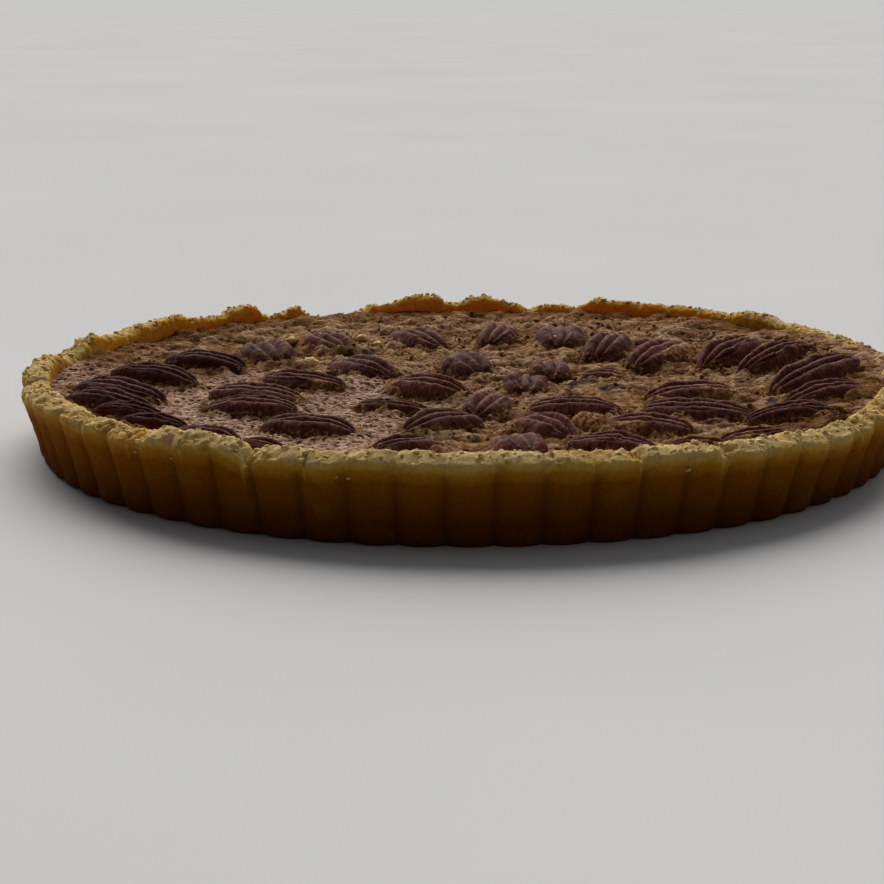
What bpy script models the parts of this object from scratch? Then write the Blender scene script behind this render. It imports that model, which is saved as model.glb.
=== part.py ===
"""An uncut pecan tart, turned out of its fluted tin: a shortcrust shell, a baked nut filling
that fills it almost to the rim, and pecan halves set round side up in the filling.

Frame: origin at the middle of the base, +Z up, -Y is the front. Bearings are measured
counter-clockwise from +X, in degrees, and so are the pecans' headings.
"""

import math
import random

import bmesh
import bpy
from mathutils import Matrix

MM = 0.001

# The shell: a fluted tart tin 280 mm across the rim and 25 mm deep.
RIM_RADIUS = 140.0
BASE_RADIUS = 134.2
RIM_HEIGHT = 25.3
BASE_THICKNESS = 4.0
FOOT_CHAMFER = 1.2
RIM_WIDTH = 9.0
RIM_ROUNDING = 2.3
INNER_SHOULDER_DROP = 0.4
INNER_DRAFT = 3.5
FLUTES = 66
FLUTE_DEPTH = 2.2
FLUTE_ROUNDNESS = 0.7
STEPS_PER_FLUTE = 4
TOLERANCE = 0.1

# The rim's crown lies between these shares of the rim's width from its outer edge. The
# flutes fade out over the last share of that width.
CROWN_INNER = 0.62
CROWN_OUTER = 0.28
CROWN_OUTER_DROP = 0.1
FLUTE_FADE = 0.6

# Where the rim was pressed higher, or has broken away: bearing, half width, rise in mm.
RIM_FEATURES = (
    (32, 16, 0.6),
    (38, 4, 0.8),
    (56, 8, 0.8),
    (66.8, 1.6, 0.6),
    (73.6, 4.2, -2.6),
    (79, 1.2, -4.8),
    (82.6, 1.8, -1.6),
    (91.2, 1.8, -1.9),
    (96.3, 2.6, 0.9),
    (100.7, 0.8, -3.2),
    (103.6, 1.8, -2.6),
    (106.9, 1.2, -4.8),
    (111.7, 3.4, -6.4),
    (116, 0.8, -4.6),
    (118.3, 1.2, -0.6),
    (120.6, 1, -2.8),
    (123, 1.3, -4.4),
    (127.6, 2.6, 0.6),
    (133.5, 3.2, -1.6),
    (137.6, 0.9, -2.0),
    (142.3, 2.6, 0.5),
    (151.5, 1.4, -2.1),
    (155.2, 2.2, -0.6),
    (161.2, 1.5, 1.2),
    (164.4, 1, -1.0),
    (169.5, 4, -2.8),
    (175.5, 1.2, -0.6),
    (182, 5, 1.2),
    (196, 6, -1.0),
    (217.5, 1.2, -0.8),
    (225.7, 0.9, -1.4),
    (232.4, 1.4, 1.2),
    (238.5, 3.8, 1.0),
    (244.7, 0.8, -1.6),
    (258, 2, 0.8),
    (281, 2.4, 1.0),
    (292, 2.6, 0.6),
    (299.8, 1.8, -2.0),
    (306.5, 4.6, -1.4),
    (318, 7, -2.6),
    (328.5, 3.6, -1.8),
    (341, 9, -1.0),
)
RIM_FEATURE_EDGE = 2.0
RIM_WAVES = ((11, 0.25, 0), (29, 0.25, 40))

# The filling, uneven and a little sunk inside a ring next to the crust.
GAP = 0.3
FILLING_RADIUS = 129.2
FILLING_EDGE_LEVEL = 19.4
FILLING_SINK = 2.0
SINK_STARTS = 126.0
SINK_ENDS = 84.0
FILLING_RINGS = 10
RING_CROWDING = 0.85
FILLING_STEPS = FLUTES

# Gentle waves over the filling: their rise, and how far each runs across it, in mm.
SWELL = 0.35
SWELL_START = 0.6
SWELL_EAST = 17.0
SWELL_NORTH = 21.0
SWELL_ASLANT = 29.0

# Where the filling has swelled up, in places over nuts: x, y, radius, rise in mm.
HUMPS = (
    (85, 65, 90, 3.2),
    (44, -13, 14, 1.4),
    (-39, -54, 12, 1.0),
    (-8, 104, 14, 1.6),
    (74, 76, 18, 1.2),
    (-76, 86, 14, 1.2),
    (-45, 118, 16, 1.4),
    (134, 8, 80, 4.5),
    (118, -78, 45, 2.2),
)

# One pecan half, round side up. The section runs from the middle ridge over one lobe to the
# edge and the underside, as shares of the half width and of the height.
SECTION = ((0.0, 1.0), (0.20, 0.70), (0.46, 0.97), (0.82, 0.62), (1.0, 0.0), (0.0, 0.0))
SECTION_LANES = 2 * len(SECTION) - 2
RINGS_ALONG = 6
TIP_LIFT = 0.12
TIP_WIDTH_POWER = 0.9
TIP_HEIGHT_POWER = 0.6
TAPER = 0.12
LEAN = 0.08

# Each half: x, y, heading, length, width, height above the filling.
PECANS = (
    (-99, -2, -18, 31, 14, 6.0),
    (-107, -30, -28, 34, 14, 6.0),
    (-107.5, -46, -30, 32, 13, 5.8),
    (-98, -63, -20, 25, 9, 5.4),
    (-89, -76.5, -25, 25, 9, 5.2),
    (-72, -93, -36, 26, 10, 4.8),
    (-87, 29, -22, 30, 15, 5.8),
    (-68, 49, -71, 30, 18, 5.6),
    (-48, 66, -62, 30, 15, 5.4),
    (-33, 20, -48, 28, 15, 5.6),
    (-16, 71, -56, 30, 15, 5.6),
    (-53, -2.5, -20, 31, 13.5, 5.2),
    (-64, -26, -18, 32, 15, 5.2),
    (-65, -46, -10, 29, 15, 5.4),
    (-45, -76, -15, 29, 15, 5.4),
    (-22, -43.5, -12, 25, 9, 4.0),
    (-12, -14, -30, 29, 15, 6.0),
    (0, 22, -70, 28, 15, 6.0),
    (13, 81, 76, 30, 14, 5.8),
    (34.5, 74, 88, 31, 17, 5.8),
    (28, 15, 90, 18, 13, 4.4),
    (19, -10, 88, 22, 14, 5.0),
    (7, -39, 72, 24, 14, 5.0),
    (-8, -67, 40, 28, 15, 5.6),
    (22.5, -71, -54, 25, 13, 5.4),
    (35, -62.5, 70, 13, 8.5, 4.2),
    (13.5, -99, -74, 23, 14.5, 5.2),
    (-16, -101, 25, 22, 12, 4.4),
    (33, -45, -7, 29, 13, 5.6),
    (68.2, -54.4, -20, 36, 15, 5.6),
    (51, -72, -25, 28, 14, 5.4),
    (39.5, -98.5, -23, 27, 13, 5.0),
    (69, -27, 12, 30, 15, 5.6),
    (66.5, 32, 57, 37, 16, 6.4),
    (50, 48.5, 70, 31, 15, 6.2),
    (88.5, 28.5, 52, 33, 15, 6.2),
    (103, 14.5, 41, 36, 14, 5.6),
    (109.5, -15, 41, 42, 16, 6.4),
    (109.5, -38.5, 27, 31, 13, 5.6),
    (94.5, -67.5, 13, 29, 12, 5.2),
    (78, -94, 24, 24, 9, 3.9),
    (63.5, -104.5, -14, 20, 8.5, 4.0),
    (104.5, -74.5, 34, 11, 5, 2.4),
    (46, 5, -15, 16, 10, 3.4),
    (-56, -108, -30, 18, 8, 4.4),
)
FIRST_PECAN = 1


def material(name, colour, roughness):
    """A plain Principled material of one colour."""
    made = bpy.data.materials.new(name)
    made.use_nodes = True
    shader = made.node_tree.nodes["Principled BSDF"]
    shader.inputs["Base Color"].default_value = (*colour, 1.0)
    shader.inputs["Roughness"].default_value = roughness
    shader.inputs["Metallic"].default_value = 0.0
    return made


def smooth_step(value):
    """0 below 0, 1 above 1, and an even curve between them."""
    clamped = min(1.0, max(0.0, value))
    return clamped * clamped * (3.0 - 2.0 * clamped)


def bearing_between(first, second):
    """The smaller angle between two bearings, in degrees."""
    return abs((first - second + 180.0) % 360.0 - 180.0)


def rim_rise(bearing):
    """How far the rim stands above or below its even height at a bearing, in mm."""
    height = sum(
        rise * math.sin(math.radians(turns * bearing + start)) for turns, rise, start in RIM_WAVES
    )
    for centre, half_width, rise in RIM_FEATURES:
        inside = half_width + RIM_FEATURE_EDGE / 2 - bearing_between(bearing, centre)
        height += rise * smooth_step(inside / RIM_FEATURE_EDGE)
    return height


def flute_bulge(bearing):
    """0 in the crease between two flutes and 1 on a flute's ridge."""
    return abs(math.sin(math.radians(bearing) * FLUTES / 2)) ** FLUTE_ROUNDNESS


def filling_level(x, y):
    """The height of the filling's top at a point, in mm."""
    inwards = (SINK_STARTS - math.hypot(x, y)) / (SINK_STARTS - SINK_ENDS)
    level = FILLING_EDGE_LEVEL - FILLING_SINK * smooth_step(inwards)
    level += SWELL * math.sin(x / SWELL_EAST + SWELL_START) * math.cos(y / SWELL_NORTH)
    level += SWELL * math.sin((x + y) / SWELL_ASLANT)
    for hump_x, hump_y, radius, rise in HUMPS:
        level += rise * smooth_step(1.0 - math.hypot(x - hump_x, y - hump_y) / radius)
    return level


def turned(name, profile, steps):
    """A mesh object turned about Z from (radius, height) points in mm, in the XZ plane."""
    mesh = bpy.data.meshes.new(name)
    points = [(radius * MM, 0.0, height * MM) for radius, height in profile]
    edges = [(index, index + 1) for index in range(len(points) - 1)]
    mesh.from_pydata(points, edges, [])
    guide = bpy.data.objects.new(name, mesh)
    bpy.context.scene.collection.objects.link(guide)
    screw = guide.modifiers.new("Screw", "SCREW")
    screw.steps = steps
    screw.render_steps = steps
    screw.use_merge_vertices = True
    screw.merge_threshold = 1e-6
    graph = bpy.context.evaluated_depsgraph_get()
    solid = bpy.data.meshes.new_from_object(guide.evaluated_get(graph))
    bpy.data.objects.remove(guide)
    bpy.data.meshes.remove(mesh)
    solid.name = name
    return bpy.data.objects.new(name, solid)


def crust_profile():
    """Floor middle, floor edge, inner wall, rim and outer wall, to the middle of the base."""
    inner_top = RIM_RADIUS - RIM_WIDTH
    shoulder = RIM_HEIGHT - RIM_ROUNDING
    return (
        (0.0, BASE_THICKNESS),
        (inner_top - INNER_DRAFT, BASE_THICKNESS),
        (inner_top, shoulder - INNER_SHOULDER_DROP),
        (RIM_RADIUS - RIM_WIDTH * CROWN_INNER, RIM_HEIGHT),
        (RIM_RADIUS - RIM_WIDTH * CROWN_OUTER, RIM_HEIGHT - CROWN_OUTER_DROP),
        (RIM_RADIUS, shoulder),
        (BASE_RADIUS, FOOT_CHAMFER),
        (BASE_RADIUS - FOOT_CHAMFER, 0.0),
        (0.0, 0.0),
    )


def shape_crust(crust):
    """Presses the flutes into the outer wall and makes the rim uneven."""
    shoulder = RIM_HEIGHT - RIM_ROUNDING
    outer_wall = BASE_RADIUS - FOOT_CHAMFER - TOLERANCE
    for vertex in crust.data.vertices:
        x, y, z = vertex.co / MM
        radius = math.hypot(x, y)
        bearing = math.degrees(math.atan2(y, x))
        if radius > outer_wall:
            on_wall = smooth_step((radius - (RIM_RADIUS - RIM_WIDTH)) / (RIM_WIDTH * FLUTE_FADE))
            share = 1.0 if z < shoulder else on_wall
            pressed = radius - share * FLUTE_DEPTH * (1.0 - flute_bulge(bearing))
            x, y = x * pressed / radius, y * pressed / radius
        if z > RIM_HEIGHT / 2:
            z += rim_rise(bearing)
        vertex.co = (x * MM, y * MM, z * MM)


def filling_profile():
    """The filling's top from the middle outwards, its side, and its underside."""
    floor = BASE_THICKNESS + GAP
    top = [
        (FILLING_RADIUS * (ring / FILLING_RINGS) ** RING_CROWDING, FILLING_EDGE_LEVEL)
        for ring in range(FILLING_RINGS + 1)
    ]
    foot_radius = RIM_RADIUS - RIM_WIDTH - INNER_DRAFT - 2 * GAP
    return (*top, (foot_radius, floor), (0.0, floor))


def shape_filling(filling):
    """Raises the filling's top to its uneven level."""
    for vertex in filling.data.vertices:
        if vertex.co.z > (FILLING_EDGE_LEVEL - TOLERANCE) * MM:
            vertex.co.z = filling_level(vertex.co.x / MM, vertex.co.y / MM) * MM


def half_kernel(name, length, width, height, seed):
    """A pecan half along X, flat underneath, as a round form pressed to the section."""
    draw = random.Random(seed)
    taper = draw.uniform(-TAPER, TAPER)
    lean = draw.uniform(-LEAN, LEAN)
    form = bmesh.new()
    bmesh.ops.create_uvsphere(form, u_segments=SECTION_LANES, v_segments=RINGS_ALONG, radius=1.0)
    for vertex in form.verts:
        along = vertex.co.z
        ring = math.hypot(vertex.co.x, vertex.co.y)
        turn = math.atan2(vertex.co.y, vertex.co.x) / math.tau * SECTION_LANES
        lane = round(turn)
        across, up = SECTION[abs(lane)]
        side = math.copysign(1.0, lane)
        if ring < 1e-6:
            vertex.co = (-along * length / 2, 0.0, TIP_LIFT * height)
            continue
        spread = ring**TIP_WIDTH_POWER * (1.0 + taper * along)
        rise = ring**TIP_HEIGHT_POWER * (1.0 + side * lean)
        sideways = side * across * spread * width / 2
        vertex.co = (-along * length / 2, sideways, up * rise * height)
    mesh = bpy.data.meshes.new(name)
    form.to_mesh(mesh)
    form.free()
    return bpy.data.objects.new(name, mesh)


def bed_down(kernel, x, y, heading):
    """Lays a half at its place, its underside following the filling with a small gap."""
    place = Matrix.Translation((x, y, 0.0)) @ Matrix.Rotation(math.radians(heading), 4, "Z")
    for vertex in kernel.data.vertices:
        spot = place @ vertex.co
        spot.z += filling_level(spot.x, spot.y) + GAP
        vertex.co = spot * MM


def finish(made, look, home):
    """Gives an object its material and smooth shading, and puts it in the collection."""
    made.data.materials.clear()
    made.data.materials.append(look)
    made.data.shade_smooth()
    home.objects.link(made)


def main():
    for old in list(bpy.data.objects):
        bpy.data.objects.remove(old)
    home = bpy.data.collections.new("pecan_tart")
    bpy.context.scene.collection.children.link(home)

    crust = turned("crust", crust_profile(), FLUTES * STEPS_PER_FLUTE)
    shape_crust(crust)
    finish(crust, material("shortcrust", (0.62, 0.40, 0.15), 0.75), home)

    filling = turned("filling", filling_profile(), FILLING_STEPS)
    shape_filling(filling)
    finish(filling, material("baked_filling", (0.42, 0.27, 0.16), 0.7), home)

    kernel_look = material("pecan_skin", (0.13, 0.05, 0.035), 0.5)
    for number, (x, y, heading, length, width, height) in enumerate(PECANS, FIRST_PECAN):
        kernel = half_kernel(f"pecan_{number:02d}", length, width, height, number)
        bed_down(kernel, x, y, heading)
        finish(kernel, kernel_look, home)


main()
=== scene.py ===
"""The looks of a whole pecan tart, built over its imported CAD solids.

The fluted shortcrust case, the curdled filling and each pecan half are modelled again
as fine meshes in the places of the CAD nodes, which they replace. Crumbs lie loose on
top. The modelling works in millimetres and turns to metres where a mesh is made.
Bearings run counter-clockwise from +X, and -Y is the front.
"""

import itertools
import math

import bmesh
import bpy
import numpy as np
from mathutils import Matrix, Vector
from mathutils.bvhtree import BVHTree


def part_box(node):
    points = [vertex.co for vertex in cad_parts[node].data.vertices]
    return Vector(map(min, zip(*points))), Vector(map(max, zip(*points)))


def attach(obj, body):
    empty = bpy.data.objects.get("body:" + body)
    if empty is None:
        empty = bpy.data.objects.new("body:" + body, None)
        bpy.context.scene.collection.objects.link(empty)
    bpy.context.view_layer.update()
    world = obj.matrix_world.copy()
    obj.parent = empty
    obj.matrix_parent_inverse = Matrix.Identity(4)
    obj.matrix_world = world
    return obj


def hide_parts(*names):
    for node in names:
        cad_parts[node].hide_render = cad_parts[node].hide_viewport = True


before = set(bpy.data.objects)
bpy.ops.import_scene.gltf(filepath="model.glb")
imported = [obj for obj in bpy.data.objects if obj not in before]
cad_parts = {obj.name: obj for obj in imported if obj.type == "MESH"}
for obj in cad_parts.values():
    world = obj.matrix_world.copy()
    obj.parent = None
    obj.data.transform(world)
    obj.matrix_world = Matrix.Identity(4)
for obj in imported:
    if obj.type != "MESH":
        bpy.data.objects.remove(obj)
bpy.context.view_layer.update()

MM = 0.001

# The camera of the photograph's view, looking along +Y and down.
CAMERA_PLACE = (-7.3, -650.0, 145.1)
CAMERA_PITCH = 12.75
CAMERA_LENS = 83.93

# The surrounding light's colour, from behind the camera (0) to behind the tart (1).
WORLD_STOPS = (
    (0.46, (0.05, 0.052, 0.055)),
    (0.65, (0.17, 0.178, 0.186)),
    (0.95, (0.66, 0.69, 0.73)),
)

# The case, in mm. Its widest radius is read from the frame. Its section is drawn with the
# rim at RIM_LEVEL, and then moved to the heights that the frame's rim has at RIM_MIDDLE.
FLUTES = 66
FLUTE_DEPTH = 2.2
FLUTE_ROUNDNESS = 0.7
STEPS_PER_FLUTE = 20
RIM_WIDTH = 9.0
RIM_MIDDLE = 136.0
RIM_SHOULDER = 22.8
RIM_LEVEL = 25.3
FOOT_RADIUS = 134.4
FOOT_CHAMFER = 1.2
FLOOR_LEVEL = 4.0
INNER_FOOT = 127.5
INNER_KNEE = (129.8, 16.5)
WALL_RINGS = 30
RIM_RINGS = 18
INNER_RINGS = 7

# How rounded the rim's crown is, as a power: 1 is a half circle, and less is squarer.
INNER_ROUNDNESS = 0.8
OUTER_ROUNDNESS = 0.20

# How far the rim's outer edge lies below its crown, and where the petals of the flutes
# stand apart from each other: the middle bearing and the half width in degrees.
RIM_SLOPE = 1.4
PETALS_APART = (214.0, 34.0)

# Cracks down through the rim: bearing, depth in mm, half width in mm.
RIM_CRACKS = (
    (244.7, 2.72, 1.1),
    (288.6, 1.28, 0.7),
    (298.6, 1.12, 0.6),
    (252.0, 1.28, 0.6),
    (236.5, 1.6, 0.7),
    (228.0, 1.92, 0.6),
    (219.5, 1.76, 0.7),
    (209.0, 1.6, 0.6),
    (90.6, 0.96, 0.9),
    (323.0, 1.28, 0.6),
    (329.0, 0.96, 0.5),
)

# Small holes in the wall: bearing, height in mm, radius in mm.
WALL_HOLES = ((243.4, 17.2, 1.5), (262.0, 11.0, 0.9), (306.0, 14.0, 0.9))
HOLE_DEPTH = 1.2

# Where the filling scorched dark: x, y, radius in mm.
SCORCHES = (
    (63.0, -40.0, 5.0),
    (96.0, -38.0, 5.5),
    (36.0, -2.0, 6.0),
    (-30.0, 50.0, 5.0),
    (46.0, -14.0, 4.0),
    (2.0, 52.0, 4.0),
)

# Crust crumbs on top: x, y, size in mm.
CRUST_CRUMBS = (
    (-60.7, 68.0, 4.2),
    (-36.0, 80.4, 4.6),
    (-29.9, 68.0, 3.4),
    (-51.9, 40.6, 3.8),
    (-60.0, -52.0, 3.6),
    (57.0, 77.0, 2.2),
    (33.0, 66.0, 2.4),
)

# How many small crumbs there are, and how far from the middle they lie, in mm.
LOOSE_CRUMBS = 1200
LOOSE_REACH = 126.0
RIM_CRUMBS = 900
RIM_CRUMB_REACH = (131.8, 139.2)

# How far a crumb's middle stands above what it lies on, as a share of its size, and its
# ground's height in mm where nothing lies below it.
CRUMB_STAND = 0.25
RIM_CRUMB_STAND = 0.05
CRUMB_LEVEL = 19.0

# The filling, in mm: its mesh, and how far out its CAD top is read, with the height beyond.
FILLING_REACH = 130.7
FILLING_GRID = 304
FILLING_FOOT = 5.0
FILLING_FOOT_SHARE = 0.96
BED_REACH = 128.8
BED_LEVEL = 19.4
LIP_RISE = 0.5
LIP_ROUGH_RISE = 0.45
LIP_REACH = 3.6

# Two sizes of bubbles: spacing, widest radius and depth in mm, and the seed of their places.
BUBBLE_KINDS = ((3.4, 1.3, 1.2, 81), (2.0, 0.95, 0.9, 91))

# Where the filling laps over the rim: the middle bearing, half width in degrees, reach in mm.
FILLING_LAPS = ((2.0, 36.0, 2.6), (-2.0, 15.0, 3.2), (184.0, 18.0, 3.0))
LAP_RISE = 0.32


def smooth_step(value):
    """0 below 0, 1 above 1, and an S between."""
    value = np.clip(value, 0.0, 1.0)
    return value * value * (3.0 - 2.0 * value)


def scramble(cells, seed):
    """A repeatable number from 0 to 1 for each whole-numbered cell of (n, 3)."""
    mixed = np.full(cells.shape[0], seed * 40503 + 12345, np.int64)
    for axis, factor in enumerate((73856093, 19349663, 83492791)):
        mixed = mixed ^ (cells[:, axis].astype(np.int64) * factor)
    mixed &= 0xFFFFFFFF
    mixed = ((mixed ^ (mixed >> 15)) * 0x2C1B3C6D) & 0xFFFFFFFF
    mixed = ((mixed ^ (mixed >> 12)) * 0x297A2D39) & 0xFFFFFFFF
    return ((mixed ^ (mixed >> 15)) & 0xFFFFFF) / 0xFFFFFF


def noise(points, seed):
    """Smooth noise from -1 to 1 at points (n, 3), with lumps about one unit across."""
    base = np.floor(points)
    part = points - base
    part = part**3 * (part * (part * 6.0 - 15.0) + 10.0)
    total = np.zeros(len(points))
    for corner in itertools.product((0, 1), repeat=3):
        weight = np.prod(np.where(corner, part, 1.0 - part), axis=1)
        total += weight * scramble(base + corner, seed)
    return total * 2.0 - 1.0


def layered(points, seed, octaves=3, gain=0.5):
    """Noise from -1 to 1 with finer and finer lumps added."""
    total = np.zeros(len(points))
    for octave in range(octaves):
        total += gain**octave * noise(points * 2.03**octave + 7.3 * octave, seed + octave)
    return total / sum(gain**octave for octave in range(octaves))


def creased(points, seed, octaves=3):
    """1 along thin wandering creases, falling to 0 between them."""
    return 1.0 - np.minimum(np.abs(layered(points, seed, octaves)) * 4.0, 1.0)


def spots(points, spacing, seed):
    """For (n, 2) or (n, 3) points: distance to the nearest scattered spot, and its number."""
    scaled = points / spacing
    base = np.floor(scaled)
    axes = points.shape[1]
    nearest = np.full(len(points), 9.0)
    number = np.zeros(len(points))
    for step in itertools.product((-1, 0, 1), repeat=axes):
        cells = np.zeros((len(points), 3))
        cells[:, :axes] = base + step
        place = base + step + np.column_stack([scramble(cells, seed + axis) for axis in range(axes)])
        away = np.linalg.norm(place - scaled, axis=1)
        closer = away < nearest
        number = np.where(closer, scramble(cells, seed + axes), number)
        nearest = np.where(closer, away, nearest)
    return nearest * spacing, number


def lumps(points, spacing, seed):
    """Rounded lumps of uneven size, from 0 to about 1."""
    away, number = spots(points, spacing, seed)
    return np.sqrt(np.clip(1.0 - (away / spacing / 0.75) ** 2, 0.0, 1.0)) * (0.3 + 0.7 * number)


def spatial(x, y, z, wavelength):
    """Points in mm as (n, 3) noise coordinates of that wavelength."""
    return np.column_stack([x, y, z * np.ones_like(x)]) / wavelength


def new_piece(name, points, faces, node=None):
    """A mesh object from points in mm, riding on the body and replacing its CAD node."""
    mesh = bpy.data.meshes.new(name)
    mesh.from_pydata(np.asarray(points) * MM, [], faces)
    mesh.update()
    mesh.shade_smooth()
    piece = bpy.data.objects.new(name, mesh)
    bpy.context.scene.collection.objects.link(piece)
    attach(piece, "root")
    if node:
        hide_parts(node)
    return piece


def paint(piece, name, values, rest=0.0):
    """Keeps one number a vertex, which the materials read by name; rest fills what is left."""
    marks = np.full(len(piece.data.vertices), rest, np.float32)
    marks[: len(values)] = values
    layer = piece.data.attributes.new(name, "FLOAT", "POINT")
    layer.data.foreach_set("value", marks)


def tube(points, ends, steps):
    """Rings of points closed into a tube, with a fan of triangles to a point at each end."""
    first = np.arange(steps)
    second = np.roll(first, -1)
    faces = []
    for low in range(0, len(points) - steps, steps):
        high = low + steps
        quads = np.column_stack([low + first, low + second, high + second, high + first])
        faces.extend(quads.tolist())
    last = len(points) - steps
    for step, after in zip(first.tolist(), second.tolist()):
        faces.append([len(points), after, step])
        faces.append([len(points) + 1, last + step, last + after])
    return np.vstack([points, ends]), faces


def surface_of(thing):
    """A tree for casting rays down on an object, in metres."""
    return BVHTree.FromObject(thing, bpy.context.evaluated_depsgraph_get())


def heights_on(surface, x, y, otherwise):
    """The height of a surface under each point in mm, or another where there is none."""
    found = []
    for east, north in zip(x, y):
        hit = surface.ray_cast(Vector((east * MM, north * MM, 0.1)), Vector((0, 0, -1)))[0]
        found.append(hit.z / MM if hit else otherwise)
    return np.array(found)


# ---------------------------------------------------------------- the shortcrust case


def degrees_from(bearings, bearing):
    """The smaller angle between bearings, in degrees."""
    return np.abs((bearings - bearing + 180.0) % 360.0 - 180.0)


def flute_bulge(bearing):
    """0 in the crease between two flutes and 1 on a flute's ridge."""
    return np.abs(np.sin(np.radians(bearing) * FLUTES / 2)) ** FLUTE_ROUNDNESS


def crust_rings(rim_radius):
    """The case's section from the floor, over the rim and down the wall to the foot."""
    inner_top = rim_radius - RIM_WIDTH
    knee_radius, knee_height = INNER_KNEE
    rings = [(INNER_FOOT, FLOOR_LEVEL), (INNER_FOOT + 2.0, 14.0)]
    for along in np.linspace(0.0, 1.0, INNER_RINGS, endpoint=False):
        radius = knee_radius + (inner_top - knee_radius) * along
        rings.append((radius, knee_height + (RIM_SHOULDER - knee_height) * along))
    for turn in np.linspace(0.0, math.pi, RIM_RINGS):
        radius = rim_radius - RIM_WIDTH / 2 * (1.0 + math.cos(turn))
        roundness = INNER_ROUNDNESS if turn < math.pi / 2 else OUTER_ROUNDNESS
        crown = max(math.sin(turn), 0.0) ** roundness
        rings.append((radius, RIM_SHOULDER + (RIM_LEVEL - RIM_SHOULDER) * crown))
    for along in np.linspace(0.0, 1.0, WALL_RINGS + 1)[1:]:
        radius = rim_radius + (FOOT_RADIUS - rim_radius) * along
        rings.append((radius, RIM_SHOULDER + (FOOT_CHAMFER - RIM_SHOULDER) * along))
    rings.append((FOOT_RADIUS - FOOT_CHAMFER / 2, FOOT_CHAMFER / 3))
    rings.append((FOOT_RADIUS - FOOT_CHAMFER, 0.0))
    return np.array(rings)


def rim_level(bearings):
    """How high the CAD rim stands at each bearing, with its cracks cut in, in mm."""
    surface = surface_of(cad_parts["crust"])
    angle = np.radians(bearings)
    level = heights_on(surface, RIM_MIDDLE * np.cos(angle), RIM_MIDDLE * np.sin(angle), RIM_LEVEL)
    for bearing, depth, half_width in RIM_CRACKS:
        across = np.radians(degrees_from(bearings, bearing)) * RIM_MIDDLE / half_width
        level -= depth * (1.0 - smooth_step(across))
    return level


def flute_share(radius, height, outer, inner_top):
    """How much the flutes show: fully down the wall, less over the rim, and not inside."""
    over_rim = smooth_step((radius - inner_top) / (RIM_WIDTH * 0.6))
    return np.where(height < RIM_SHOULDER, np.where(outer, 1.0, 0.0), over_rim)


def petal_rise(bearing):
    """How far each flute's petal of dough stands above or below the rim's crown, in mm."""
    petal = np.floor(bearing * FLUTES / 360.0)
    chance = scramble(np.column_stack([petal, petal * 0, petal * 0]), 43) - 0.5
    middle, half_width = PETALS_APART
    apart = 0.35 + 0.65 * smooth_step(1.6 - degrees_from(bearing, middle) / half_width)
    return apart * (1.5 * chance + 0.6 * (flute_bulge(bearing) - 0.7)) - RIM_SLOPE


def rim_relief(where):
    """The rim's broken top: flakes, grains and creases, in mm."""
    flakes = 1.1 * layered(where / 10.0, 11, 3)
    flakes = 0.75 * flakes + 0.25 * np.round(flakes / 0.6) * 0.6
    broken = flakes + 0.4 * lumps(where, 2.4, 15) + 0.8 * lumps(where, 1.5, 21) - 0.5
    return broken - 0.8 * creased(where / 9.0, 19, 2) ** 4


def wall_relief(where):
    """The wall's slow waves and its grain, in mm."""
    wave = 0.35 * noise(where / 22.0, 23) + 0.16 * layered(where / 4.0, 25, 2)
    return wave + 0.10 * layered(where / 1.3, 29, 2)


def wall_holes(bearing, height, rim_radius):
    """How deep the wall's small holes go at each point, in mm."""
    depth = np.zeros_like(bearing)
    for hole_bearing, hole_height, hole_radius in WALL_HOLES:
        along = np.radians(degrees_from(bearing, hole_bearing)) * rim_radius
        away = np.hypot(along, (height - hole_height) * 0.7)
        depth += HOLE_DEPTH * (1.0 - smooth_step(away / hole_radius))
    return depth


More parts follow.
